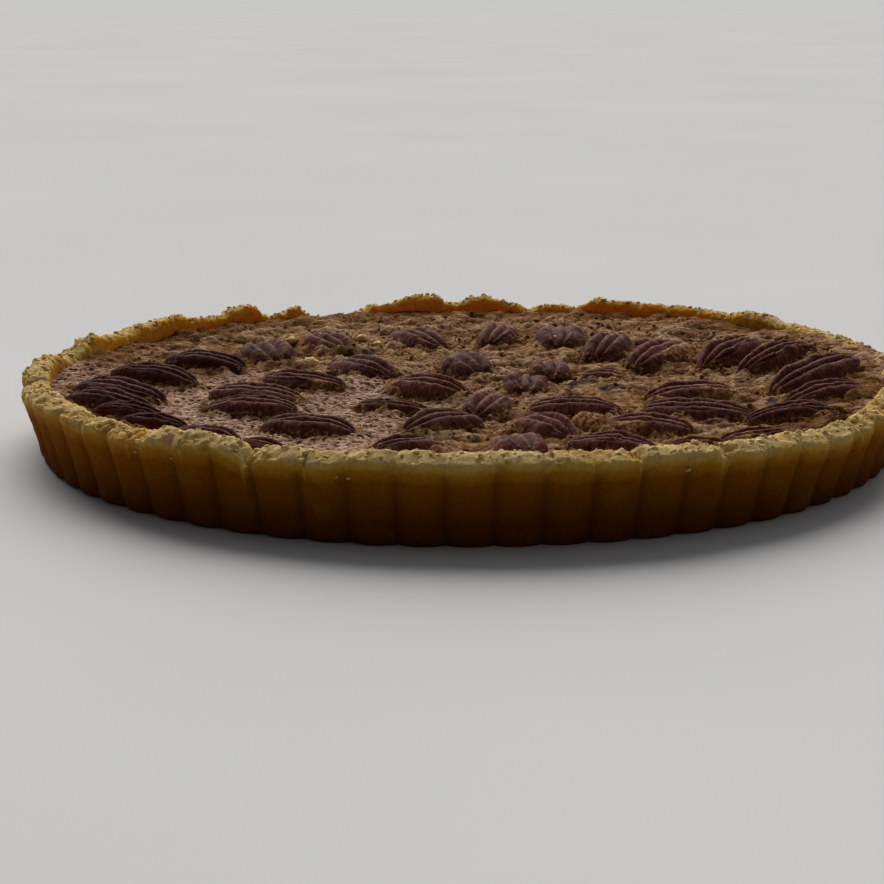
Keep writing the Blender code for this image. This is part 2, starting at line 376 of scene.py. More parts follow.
def build_crust():
    """The fluted wall and crumbly rim as one closed mesh of fine rings."""
    steps = FLUTES * STEPS_PER_FLUTE
    bearings = np.arange(steps) * 360.0 / steps
    rim_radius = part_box("crust")[1].x / MM
    inner_top = rim_radius - RIM_WIDTH
    rings = crust_rings(rim_radius)
    ring = np.repeat(np.arange(len(rings)), steps)
    outer = ring >= INNER_RINGS + 2 + RIM_RINGS // 2
    bearing = np.tile(bearings, len(rings))
    east, north = np.cos(np.radians(bearing)), np.sin(np.radians(bearing))
    radius, height = rings[ring, 0], rings[ring, 1]

    share = flute_share(radius, height, outer, inner_top)
    radius = radius - share * FLUTE_DEPTH * (1.0 - flute_bulge(bearing))
    outwards = smooth_step((radius - inner_top - 1.5) / (RIM_WIDTH * 0.8))
    rise = np.tile(rim_level(bearings) - RIM_LEVEL, len(rings)) + petal_rise(bearing) * outwards
    height = height + rise * smooth_step((height - 6.0) / (RIM_SHOULDER - 6.0))

    where = spatial(radius * east, radius * north, height, 1.0)
    top = smooth_step((height - rise - 20.5) / 3.5)
    visible = (ring > 2) & (height > 0.3)
    broken = rim_relief(where)
    height = height + np.where(visible, top * broken, 0.0)
    radius = radius + np.where(visible & outer, wall_relief(where), 0.0)
    radius = radius + np.where(visible, top * 0.45 * layered(where / 1.8, 33, 2), 0.0)
    radius = radius - np.where(outer, wall_holes(bearing, height, rim_radius), 0.0)
    height = np.where(ring >= len(rings) - 2, rings[ring, 1], height)

    points = np.column_stack([radius * east, radius * north, height])
    points, faces = tube(points, [(0.0, 0.0, FLOOR_LEVEL), (0.0, 0.0, 0.0)], steps)
    piece = new_piece("crust_case", points, [face[::-1] for face in faces], "crust")
    inner = np.where(ring < INNER_RINGS + 2 + RIM_RINGS // 4, 1.0, 0.0)
    below_top = np.clip(RIM_LEVEL + rise - height, 0.0, None)
    # Depth below the rim's top, which drives the wall's painted shade towards the foot.
    paint(piece, "down", below_top / 20.0, 1.0)
    # Where the flutes crease, for painted shade in the creases.
    paint(piece, "crease", (1.0 - flute_bulge(bearing)) * share * (1.0 - 0.85 * top))
    paint(piece, "inner", inner * (1.0 - smooth_step(lapped(bearing))))
    # Low spots in the rim's broken top, for painted shade in them.
    paint(piece, "hollow", np.clip(-broken / 1.2 - 0.2, 0.0, 1.0) * top)
    return piece


# ---------------------------------------------------------------- the pecan halves


def chance(number, draw):
    """A repeatable number from 0 to 1 for one pecan half."""
    return scramble(np.array([[number, draw, 0]]), 5)[0]


class Nut:
    """One pecan half: its place and size, read from its CAD node, and its irregularities."""

    def __init__(self, node, bed):
        points = np.array([vertex.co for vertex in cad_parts[node].data.vertices]) / MM
        flat = np.unique(np.round(points[:, :2], 3), axis=0)
        middle = (flat.max(axis=0) + flat.min(axis=0)) / 2
        axes = np.linalg.eigh(np.cov((flat - flat.mean(axis=0)).T))[1]
        self.along = axes[:, 1] * (1.0 if axes[0, 1] + 0.1 * axes[1, 1] > 0.0 else -1.0)
        self.across = np.array([-self.along[1], self.along[0]])
        run = (flat - middle) @ self.along
        side = (flat - middle) @ self.across
        self.node = node
        self.number = int(node.split("_")[1])
        self.middle = middle + self.along * (run.max() + run.min()) / 2
        self.middle = self.middle + self.across * (side.max() + side.min()) / 2
        self.length = np.ptp(run)
        self.width = np.ptp(side) * NUT_WIDENING
        self.height = points[:, 2].max() - bed(self.middle[0:1], self.middle[1:2])[0]
        self.seed = 100 + self.number * 7
        self.taper = 0.22 * (chance(self.number, 1) - 0.5)
        self.lean = 0.14 * (chance(self.number, 2) - 0.5)
        self.pointed = NUT_POINT * (1.0 if chance(self.number, 3) > 0.4 else -1.0)
        self.tilt = NUT_TILT * (0.6 + 0.8 * chance(self.number, 4))
        dark_side = smooth_step((DARK_SIDE - self.middle[0]) / 20.0)
        self.dark = min(0.4 * chance(self.number, 5) + 0.5 * dark_side, 0.7)

    def local(self, x, y):
        """Points as shares of the half length along and the half width across."""
        offset = np.column_stack([x - self.middle[0], y - self.middle[1]])
        return (offset @ self.along) / (self.length / 2), (offset @ self.across) / (self.width / 2)

    def noise(self, seed, first, second, octaves=1):
        """Noise from -1 to 1 at two coordinates, other for each half."""
        points = np.column_stack(np.broadcast_arrays(first, second, float(self.seed)))
        return layered(points, seed, octaves)


# A half's cross-section: share of its half width, and share of its height.
NUT_SECTION = (
    (0.0, 0.97),
    (0.09, 0.95),
    (0.16, 0.84),
    (0.22, 0.60),
    (0.28, 0.62),
    (0.35, 0.83),
    (0.44, 0.95),
    (0.54, 0.98),
    (0.66, 0.91),
    (0.78, 0.74),
    (0.88, 0.50),
    (0.96, 0.24),
    (1.0, 0.0),
)
NUT_RINGS = 96
NUT_TOP_LANES = 38
NUT_UNDER_LANES = 8
NUT_SINK = 0.5
NUT_FLATTENING = 0.78
NUT_WIDENING = 1.12
NUT_END_HEIGHT = 0.92
NUT_END_WIDTH = 0.92
NUT_POINT = 0.34
NUT_TILT = 0.12

# The halves left of this x, in mm, baked the darkest.
DARK_SIDE = -70.0

# Where crumb covers part of a half: number, from and to along it, from and to across it.
COATED = (
    (33, 0.1, 1.2, -1.2, 0.0),
    (34, -0.5, 0.7, -1.2, -0.2),
    (26, -1.2, 1.2, -1.2, 1.2),
    (12, 0.5, 1.2, -1.2, -0.1),
    (17, -1.2, -0.6, -1.2, 1.2),
    (16, -1.2, -0.7, -1.2, 1.2),
    (24, -1.2, -0.3, -1.2, -0.6),
    (31, -0.8, 0.1, -1.2, -0.3),
    (41, -1.2, 0.0, -1.2, 0.0),
    (44, 0.2, 1.2, -1.2, 1.2),
)


def nut_lanes():
    """Turns round a half's section: close together over its top, and few below."""
    top = np.linspace(0.0, math.pi, NUT_TOP_LANES)
    under = np.linspace(math.pi, 2.0 * math.pi, NUT_UNDER_LANES + 2)[1:-1]
    return np.concatenate([top, under])


def coating(nut, run, across):
    """1 where crumb covers this half, with a ragged border."""
    ragged = 0.28 * nut.noise(151, run * 6.0, across * 4.0, 2)
    coat = np.zeros(len(run))
    for number, first, last, near, far in COATED:
        if number == nut.number:
            inside = np.minimum.reduce([run - first, last - run, across - near, far - across])
            coat = np.maximum(coat, smooth_step((inside + ragged) / 0.15))
    return coat


def nut_furrow(nut, run, across):
    """1 along the thin furrow that runs down parts of each lobe."""
    place = 0.63 + 0.10 * nut.noise(nut.seed + 1, run * 1.8, np.sign(across))
    furrow = np.exp(-(((np.abs(across) - place) / 0.055) ** 2))
    return furrow * smooth_step(2.2 * nut.noise(nut.seed + 2, run * 1.3, np.sign(across) * 3.0))


def nut_profile(nut, run, across, ring, furrow, coat):
    """The height of a half's skin at each point, as a share of its full height there."""
    section = np.array(NUT_SECTION)
    away = np.abs(across)
    wander = 0.07 * nut.noise(nut.seed, run * 2.2, nut.seed)
    wandering = np.clip(np.abs(across + wander * ring), 0.0, 1.0)
    profile = np.interp(np.where(away > 0.97, away, wandering), section[:, 0], section[:, 1])
    profile -= 0.08 * furrow
    on_lobe = smooth_step((away - 0.3) / 0.15) * smooth_step((0.97 - away) / 0.2)
    waviness = 1.4 * nut.noise(nut.seed + 4, run * 3.0, across * 2.0)
    wrinkled = run * nut.length / 2 / 1.25 + 1.1 * away + waviness
    profile += 0.05 * nut.noise(nut.seed + 3, wrinkled, across * 2.2, 2) * (0.5 + 0.5 * on_lobe)
    profile += 0.09 * nut.noise(nut.seed + 6, run * nut.length / 9.0, across * 1.6, 2) * ring
    profile += coat * 0.06 * nut.noise(nut.seed + 8, run * 9.0, across * 5.0, 2)
    return profile


def nut_side(nut, run, across, ring):
    """How far each point lies to the side of the line from tip to tip, in mm."""
    ends = 1.0 + nut.pointed * run
    side = across * ring ** (NUT_END_WIDTH * ends) * nut.width / 2 * (1.0 + nut.taper * run)
    side += nut.lean * nut.width * run**2 / 2
    wavy_edge = nut.noise(nut.seed + 9, run * 4.0, np.sign(across))
    return side + 0.02 * nut.width * wavy_edge * across


def nut_rise(nut, run, across, ring, profile):
    """How far the skin stands above the half's sunken base, in mm."""
    ends = 1.0 + nut.pointed * run
    stands = NUT_FLATTENING * nut.height + NUT_SINK
    return profile * (1.0 + nut.tilt * across) * ring ** (NUT_END_HEIGHT * ends) * stands


def nut_tips(nut, bed):
    """The two end points of a half."""
    tips = []
    for end in (-1.0, 1.0):
        tip = nut.middle + nut.along * end * nut.length / 2
        tip = tip + nut.across * nut.lean * nut.width / 2
        tips.append((tip[0], tip[1], bed(tip[0:1], tip[1:2])[0] - NUT_SINK))
    return tips


def build_nut(nut, bed):
    """One pecan half: two wrinkled lobes beside a narrow ridge, flat below."""
    runs = -np.cos(np.linspace(0.0, math.pi, NUT_RINGS + 1)[1:-1])
    lanes = nut_lanes()
    run, lane = np.meshgrid(runs, lanes, indexing="ij")
    run, lane = run.ravel(), lane.ravel()
    ring = np.sqrt(1.0 - run**2)
    across = np.cos(lane)
    above = np.sin(lane) > -1e-6
    furrow = nut_furrow(nut, run, across)
    coat = coating(nut, run, across)
    profile = nut_profile(nut, run, across, ring, furrow, coat)
    side = nut_side(nut, run, across, ring)
    rise = np.where(above, nut_rise(nut, run, across, ring, profile), 0.0)
    below = np.where(above, 0.0, -0.9 * np.abs(np.sin(lane)) * ring**0.5)
    x = nut.middle[0] + nut.along[0] * run * nut.length / 2 + nut.across[0] * side
    y = nut.middle[1] + nut.along[1] * run * nut.length / 2 + nut.across[1] * side
    points = np.column_stack([x, y, bed(x, y) - NUT_SINK + rise + below])
    points, faces = tube(points, nut_tips(nut, bed), len(lanes))
    piece = new_piece(f"pecan_half_{nut.number:02d}", points, faces, nut.node)
    # Grooves and furrows, for painted shade in them.
    groove = np.clip((0.84 - profile) / 0.26, 0.0, 1.0) * smooth_step((0.42 - np.abs(across)) / 0.08)
    crumb_line = 1.2 + 1.6 * nut.noise(nut.seed + 10, run * 5.0, across * 3.0, 3)
    paint(piece, "groove", np.maximum(groove, 0.8 * furrow))
    paint(piece, "coat", coat)
    paint(piece, "dark", np.full(len(points), nut.dark))
    paint(piece, "run", np.append(run, [-1.0, 1.0]) * nut.length / 2)
    paint(piece, "side", side)
    paint(piece, "low", 1.0 - smooth_step((rise - crumb_line) / 1.2), 1.0)
    return piece


# ---------------------------------------------------------------- the filling


def disc_grid(count, radius):
    """A square grid of points pressed evenly into a disc, as two flat arrays."""
    share = np.linspace(-1.0, 1.0, count)
    a, b = np.meshgrid(share, share, indexing="ij")
    a, b = a.ravel(), b.ravel()
    steep = np.abs(a) > np.abs(b)
    reach = np.where(steep, a, b)
    ratio = np.where(steep, b, a) / np.where(reach == 0.0, 1.0, reach)
    turn = np.where(steep, ratio * math.pi / 4, math.pi / 2 - ratio * math.pi / 4)
    return radius * reach * np.cos(turn), radius * reach * np.sin(turn)


def softened(values, count, reach, times=2):
    """Grid values averaged over reach cells each way."""
    grid = values.reshape(count, count)
    for _ in range(times):
        for axis in (0, 1):
            padded = np.pad(grid, [(reach, reach) if a == axis else (0, 0) for a in (0, 1)], "edge")
            total = sum(np.take(padded, np.arange(count) + k, axis=axis) for k in range(2 * reach + 1))
            grid = total / (2 * reach + 1)
    return grid.ravel()


def skin_share(x, y):
    """1 where the filling baked to a smooth skin, and 0 where it is rough curd."""
    left = smooth_step((20.0 - x) / 60.0)
    front = smooth_step((45.0 - y) / 50.0)
    return left * front


def lapped(bearings):
    """How far the filling's edge has spread over the rim at each bearing, in mm."""
    spread = np.zeros_like(bearings)
    for bearing, half_width, reach in FILLING_LAPS:
        spread += reach * smooth_step(1.3 - degrees_from(bearings, bearing) / half_width)
    return spread


def scorched(x, y, flat):
    """1 in the middle of a dark baked spot, with ragged borders."""
    scorch = np.zeros(len(x))
    for east, north, reach in SCORCHES:
        inside = 1.0 - np.hypot(x - east, y - north) / reach + 0.7 * layered(flat / 3.0, 83, 3)
        scorch = np.maximum(scorch, smooth_step(inside * 1.5))
    return scorch


def lips_round(nuts, x, y):
    """1 at the edge of a pecan, falling to 0 over the lip's reach."""
    lip = np.zeros(len(x))
    for nut in nuts:
        run, side = nut.local(x, y)
        span = np.maximum(np.hypot(run, side), 0.3)
        reach = np.hypot(run * nut.length / 2, side * nut.width / 2)
        outside = (span - 1.0) / span * reach
        lip = np.maximum(lip, 1.0 - smooth_step(outside / LIP_REACH))
    return lip


def bubbles(flat, skin):
    """The holes that bubbles left: their depth in mm, and 1 in the middle of each."""
    depth = np.zeros(len(flat))
    pit = np.zeros(len(flat))
    for spacing, widest, deepest, seed in BUBBLE_KINDS:
        away, number = spots(flat[:, :2], spacing, seed)
        size = widest * np.clip((number - 0.2) / 0.8, 0.0, 1.0) * (0.5 + 0.5 * skin)
        hole = (1.0 - smooth_step(away / np.maximum(size, 1e-3) - 0.2)) * (size > 0.3)
        depth += deepest * hole
        pit = np.maximum(pit, hole)
    return depth, pit


def curd(flat, bent, rough, lip):
    """The heaps of curd where the filling is rough, in mm."""
    patchy = smooth_step(0.75 + 2.0 * layered(flat / 16.0, 73, 2))
    lumpy = rough * np.maximum(patchy, 0.9 * lip)
    heaps = 2.5 * layered(bent / 6.0, 63, 4, 0.52) + 0.2 * (lumps(bent[:, :2], 2.4, 59) - 0.4)
    return lumpy * heaps + rough * 0.35 * layered(bent / 2.2, 65, 2)


def skirted(points, count):
    """A square grid's points and faces, with a skirt from its border down to a flat foot."""
    index = np.arange(count * count).reshape(count, count)
    corners = (index[:-1, :-1], index[1:, :-1], index[1:, 1:], index[:-1, 1:])
    faces = np.column_stack([corner.ravel() for corner in corners]).tolist()
    border = np.concatenate([index[:-1, 0], index[-1, :-1], index[:0:-1, -1], index[0, :0:-1]])
    foot = len(points) + np.arange(len(border))
    below = points[border] * (FILLING_FOOT_SHARE, FILLING_FOOT_SHARE, 0.0) + (0.0, 0.0, FILLING_FOOT)
    for step in range(len(border)):
        after = (step + 1) % len(border)
        faces.append([border[after], border[step], foot[step], foot[after]])
    faces.append(foot[::-1].tolist())
    return np.vstack([points, below]), faces


def build_filling(nuts, bed):
    """The baked filling: swells, curd, bubbles and lips round the nuts, on a fine grid."""
    x, y = disc_grid(FILLING_GRID, FILLING_REACH)
    radius = np.hypot(x, y)
    flat = spatial(x, y, 0.0, 1.0)
    bent = flat + 0.5 * np.column_stack([noise(flat / 1.9, 57), noise(flat / 1.9, 58), flat[:, 2]])
    lip = lips_round(nuts, x, y)
    torn = smooth_step(1.7 * lip + 1.1 * layered(flat / 3.6, 45, 3) - 0.6)
    skin = np.clip(skin_share(x, y) + 0.5 * layered(flat / 22.0, 41, 3), 0.0, 1.0) * (1.0 - 0.85 * torn)
    rough = 1.0 - skin
    cracks = creased(flat / 12.0, 71, 3) ** 3
    clefts = creased(bent / 9.0, 75, 3) ** 4 * smooth_step(0.2 + 2.0 * layered(flat / 14.0, 77, 2))
    pit_depth, pit = bubbles(flat, skin)
    edge = smooth_step((radius - 112.0) / 14.0)
    lap = lapped(np.degrees(np.arctan2(y, x))) * smooth_step((radius - 118.0) / 12.0)

    level = softened(bed(x, y), FILLING_GRID, 3)
    lip_rise = (LIP_RISE + LIP_ROUGH_RISE * rough) * lip
    level = level + lip_rise * (0.8 + 1.6 * layered(bent / 2.4, 47, 3, 0.6))
    level += 1.2 * layered(flat / 26.0, 49, 2) + 0.8 * layered(flat / 12.0, 51, 2)
    level += curd(flat, bent, rough, lip) + skin * 0.16 * layered(flat / 2.8, 67, 2)
    level -= (0.3 + 0.5 * rough) * cracks + 1.7 * rough * clefts + pit_depth
    level += LAP_RISE * lap + 0.6 * edge * (1.0 + layered(flat / 5.0, 97, 2))

    # How far each point stands above or below its surroundings; the painted highlight on crests and the
    # painted shade in hollows come from it.
    stand = level - softened(level, FILLING_GRID, 4)
    # Hollows, and clefts in the rough curd, for painted shade.
    hollow = np.clip(-stand / 0.9 - 0.25 + 0.5 * rough * clefts, 0.0, 1.0)
    outwards = 1.0 + lap / FILLING_REACH
    points, faces = skirted(np.column_stack([x * outwards, y * outwards, level]), FILLING_GRID)
    piece = new_piece("filling_top", points, faces, "filling")
    paint(piece, "skin", skin)
    # The bubbles' middles and the hollows, for painted shade in them.
    paint(piece, "pit", np.maximum(pit, hollow))
    # Crests, for a painted highlight on them.
    paint(piece, "crest", np.clip(stand / 0.7, 0.0, 1.0))
    paint(piece, "torn", torn)
    # The band next to the rim, for painted shade from the rim, less where the filling laps over it.
    paint(piece, "edge", edge * (1.0 - 0.8 * smooth_step(lap / 2.0)))
    paint(piece, "scorch", scorched(x, y, flat))
    return piece


# ---------------------------------------------------------------- crumbs


def rough_ball(subdivisions):
    """A ball one unit across, as arrays of points and triangles."""
    form = bmesh.new()
    bmesh.ops.create_icosphere(form, subdivisions=subdivisions, radius=0.5)
    points = np.array([vertex.co for vertex in form.verts])
    faces = np.array([[vertex.index for vertex in face.verts] for face in form.faces])
    form.free()
    return points, faces


def build_crumbs(name, places, seed, surface, subdivisions, stand):
    """Crumbs as one mesh, from places of x, y and size in mm.

    A crumb's middle stands above the surface by the share stand of its size.
    """
    rng = np.random.default_rng(seed)
    ball, sides = rough_ball(subdivisions)
    points, faces = [], []
    grounds = heights_on(surface, places[:, 0], places[:, 1], CRUMB_LEVEL)
    for index, (x, y, size) in enumerate(places):
        shape = ball * (1.0 + 0.5 * layered(ball * 2.6 + rng.uniform(0, 90, 3), 7, 2)[:, None])
        shape = shape * rng.uniform((0.7, 0.7, 0.5), (1.25, 1.25, 0.9)) * size
        points.append(shape + (x, y, grounds[index] + size * stand))
        faces.extend((sides + index * len(ball)).tolist())
    piece = new_piece(name, np.vstack(points), faces)
    paint(piece, "tone", np.repeat(rng.uniform(0.0, 1.0, len(places)), len(ball)))
    return piece


def loose_places(nuts):
    """Spots for loose crumbs of filling: few on the smooth skin, and none on a pecan."""
    rng = np.random.default_rng(11)
    count = LOOSE_CRUMBS * 7
    reach = LOOSE_REACH * np.sqrt(rng.uniform(0.0, 1.0, count))
    turn = rng.uniform(0.0, math.tau, count)
    x, y = reach * np.cos(turn), reach * np.sin(turn)
    clumps = 0.15 + 0.8 * layered(spatial(x, y, 0.0, 13.0), 89, 2)
    open_share = 1.0 - skin_share(x, y)
    chance = open_share * clumps
    clear = np.ones(count, bool)
    for nut in nuts:
        run, side = nut.local(x, y)
        away = np.hypot(run, side)
        clear &= away > 0.93
        chance = np.where(away < 1.2, chance + 0.08 + 0.5 * open_share, chance)
    kept = np.flatnonzero(clear & (rng.uniform(0.0, 1.0, count) < chance))[:LOOSE_CRUMBS]
    size = 0.6 + 1.3 * rng.uniform(0.0, 1.0, len(kept)) ** 2.5
    return np.column_stack([x[kept], y[kept], size])


def rim_places():
    """Spots for the small crumbs all over the rim's broken top."""
    rng = np.random.default_rng(17)
    reach = rng.uniform(*RIM_CRUMB_REACH, RIM_CRUMBS)
    turn = rng.uniform(0.0, math.tau, RIM_CRUMBS)
    size = 0.8 + 1.3 * rng.uniform(0.0, 1.0, RIM_CRUMBS) ** 2
    return np.column_stack([reach * np.cos(turn), reach * np.sin(turn), size])


# ---------------------------------------------------------------- materials


class Shades:
    """A material's node tree, with short calls for the nodes used here."""

    def __init__(self, name):
        self.material = bpy.data.materials.new(name)
        self.material.use_nodes = True
        self.tree = self.material.node_tree
        self.shader = self.tree.nodes["Principled BSDF"]
        self.place = self.tree.nodes.new("ShaderNodeTexCoord").outputs["Object"]

    def link(self, output, node, socket):
        self.tree.links.new(output, node.inputs[socket])

    def attribute(self, name):
        node = self.tree.nodes.new("ShaderNodeAttribute")
        node.attribute_name = name
        return node.outputs["Fac"]

    def stretched(self, scale):
        node = self.tree.nodes.new("ShaderNodeMapping")
        node.inputs["Scale"].default_value = scale
        self.link(self.place, node, "Vector")
        return node.outputs["Vector"]

    def noise(self, wavelength, detail=4.0, vector=None, roughness=0.6):
        node = self.tree.nodes.new("ShaderNodeTexNoise")
        node.inputs["Scale"].default_value = 1.0 / (wavelength * MM)
        node.inputs["Detail"].default_value = detail
        node.inputs["Roughness"].default_value = roughness
        self.link(vector or self.place, node, "Vector")
        return node.outputs["Fac"]

    def cells(self, wavelength):
        node = self.tree.nodes.new("ShaderNodeTexVoronoi")
        node.inputs["Scale"].default_value = 1.0 / (wavelength * MM)
        self.link(self.place, node, "Vector")
        return node.outputs["Distance"]

    def ramp(self, factor, stops):
        node = self.tree.nodes.new("ShaderNodeValToRGB")
        elements = node.color_ramp.elements
        while len(elements) < len(stops):
            elements.new(0.5)
        for element, (position, value) in zip(elements, stops):
            element.position = position
            colour = (value, value, value) if isinstance(value, float) else value
            element.color = (*colour, 1.0)
        self.link(factor, node, "Fac")
        return node.outputs["Color"]

    def mix(self, factor, first, second, blend="MIX"):
        node = self.tree.nodes.new("ShaderNodeMix")
        node.data_type = "RGBA"
        node.blend_type = blend
        for socket, value in ((0, factor), (6, first), (7, second)):
            if isinstance(value, (float, tuple)):
                node.inputs[socket].default_value = (*value, 1.0) if isinstance(value, tuple) else value
            else:
                self.tree.links.new(value, node.inputs[socket])
        return node.outputs[2]

    def sum(self, first, second, share=1.0):
        node = self.tree.nodes.new("ShaderNodeMath")
        node.operation = "MULTIPLY_ADD"
        self.tree.links.new(second, node.inputs[0])
        node.inputs[1].default_value = share
        self.tree.links.new(first, node.inputs[2])
        return node.outputs[0]

    def bump(self, height, distance):
        node = self.tree.nodes.new("ShaderNodeBump")
        node.inputs["Distance"].default_value = distance * MM
        node.inputs["Strength"].default_value = 1.0
        self.link(height, node, "Height")
        self.link(node.outputs["Normal"], self.shader, "Normal")

    def finish(self, colour, roughness, specular):
        self.link(colour, self.shader, "Base Color")
        self.link(roughness, self.shader, "Roughness")
        self.shader.inputs["Specular IOR Level"].default_value = specular
        return self.material


def shortcrust():
    """Buttery shortcrust: pale and crumbly on the rim and golden below, with painted shade darkening the
    wall to brown towards the foot.
    """
    look = Shades("shortcrust")
    upright = look.stretched((1.0, 1.0, 0.4))
    mottle = look.noise(9.0, 4.0, upright)
    # Colour by depth below the rim's top: pale on the rim, golden below, then painted shade down to dark
    # brown at the foot.
    depth = look.sum(look.attribute("down"), mottle, 0.16)
    wall_colour_and_shade_stops = (
        (0.08, (0.90, 0.67, 0.31)),
        (0.16, (0.88, 0.57, 0.13)),
        (0.25, (0.66, 0.30, 0.026)),
        (0.42, (0.38, 0.122, 0.005)),
        (1.0, (0.23, 0.066, 0.002)),
    )
    colour = look.ramp(depth, wall_colour_and_shade_stops)
    patches = look.ramp(look.noise(11.0, 3.0), ((0.55, 0.0), (0.78, 0.4)))
    colour = look.mix(patches, colour, (0.46, 0.22, 0.015))
    # Painted shade darkening the creases between the flutes.
    creases = look.ramp(look.attribute("crease"), ((0.4, 0.0), (0.95, 0.38)))
    colour = look.mix(creases, colour, (0.17, 0.050, 0.003))
    amber = look.ramp(look.noise(5.0, 4.0), ((0.35, (0.94, 0.50, 0.025)), (0.65, (0.96, 0.62, 0.09))))
    colour = look.mix(look.attribute("inner"), colour, amber)
    sand = look.ramp(look.noise(1.1, 6.0), ((0.40, 0.0), (0.66, 0.35)))
    colour = look.mix(sand, colour, (0.66, 0.38, 0.08), "MULTIPLY")
    # Painted shade: the rim's low spots darkened towards orange-tan.
    rim_hollow_shade = look.ramp(look.attribute("hollow"), ((0.1, 0.0), (0.9, 0.6)))
    colour = look.mix(rim_hollow_shade, colour, (0.58, 0.26, 0.02))
    grain = look.sum(look.noise(0.6, 6.0, roughness=0.75), look.noise(1.8, 4.0), 1.0)
    look.bump(grain, 1.5)
    glow = look.ramp(look.attribute("inner"), ((0.0, 0.08), (1.0, 0.5)))
    look.link(glow, look.shader, "Subsurface Weight")
    look.shader.inputs["Subsurface Scale"].default_value = 0.006
    look.shader.inputs["Subsurface Radius"].default_value = (1.0, 0.52, 0.12)
    return look.finish(colour, look.ramp(mottle, ((0.3, 0.75), (0.7, 0.9))), 0.03)


def baked_filling():
    """Curdled filling: a pinkish skin full of pits, and rough brown curd; painted highlight lightens its
    crests to tan, and painted shade darkens the pits, hollows and the band by the rim.
    """
    look = Shades("baked_filling")
    skin_stops = ((0.32, (0.30, 0.145, 0.085)), (0.5, (0.55, 0.34, 0.235)), (0.68, (0.78, 0.56, 0.43)))
    skin = look.ramp(look.noise(2.2, 7.0, roughness=0.68), skin_stops)
    curd_stops = ((0.34, (0.095, 0.034, 0.010)), (0.5, (0.29, 0.135, 0.050)), (0.66, (0.64, 0.39, 0.19)))
    curd = look.ramp(look.noise(2.0, 8.0, roughness=0.70), curd_stops)
    # Painted highlight: the curd's crests lightened to tan.
    light = look.ramp(look.attribute("crest"), ((0.15, 0.0), (0.9, 0.6)))
    curd = look.mix(light, curd, (0.72, 0.49, 0.29))
    colour = look.mix(look.attribute("skin"), curd, skin)
    rust_stops = ((0.36, (0.11, 0.035, 0.008)), (0.5, (0.33, 0.145, 0.035)), (0.66, (0.60, 0.34, 0.11)))
    rust = look.ramp(look.noise(1.5, 6.0, roughness=0.7), rust_stops)
    borders = look.ramp(look.attribute("torn"), ((0.2, 0.0), (0.8, 0.8)))
    colour = look.mix(borders, colour, rust)
    stains = look.ramp(look.noise(9.0, 5.0), ((0.50, 0.0), (0.70, 0.6)))
    colour = look.mix(stains, colour, (0.20, 0.075, 0.018))
    # Painted shade: the band next to the rim darkened as if in the rim's shadow.
    edge = look.ramp(look.attribute("edge"), ((0.1, 0.0), (1.0, 0.7)))
    colour = look.mix(edge, colour, (0.22, 0.085, 0.022))
    wide = look.ramp(look.cells(3.0), ((0.22, 1.0), (0.36, 0.0)))
    fine = look.ramp(look.cells(1.6), ((0.22, 0.9), (0.38, 0.0)))
    few = look.ramp(look.attribute("skin"), ((0.0, 0.25), (0.8, 1.0)))
    holes = look.mix(1.0, look.mix(1.0, wide, fine, "LIGHTEN"), few, "MULTIPLY")
    # Painted shade in the small holes, which the bump also sinks.
    colour = look.mix(holes, colour, (0.085, 0.028, 0.012))
    # Painted shade in the bubbles and hollows.
    pits = look.ramp(look.attribute("pit"), ((0.12, 0.0), (0.7, 0.88)))
    colour = look.mix(pits, colour, (0.060, 0.020, 0.008))
    # Scorched spots: dark bluish grey, with light grey speckles that are painted glints.
    scorch = look.ramp(look.attribute("scorch"), ((0.2, 0.0), (0.8, 0.9)))
    scorch_with_glints = look.ramp(look.noise(1.5, 6.0), ((0.45, (0.022, 0.020, 0.021)), (0.68, (0.12, 0.115, 0.115))))
    colour = look.mix(scorch, colour, scorch_with_glints)
    grain = look.sum(look.noise(0.8, 6.0, roughness=0.7), look.noise(2.2, 4.0), 1.0)
    look.bump(look.sum(grain, holes, -1.0), 1.5)
    return look.finish(colour, look.ramp(look.noise(4.0), ((0.35, 0.65), (0.7, 0.85))), 0.006)


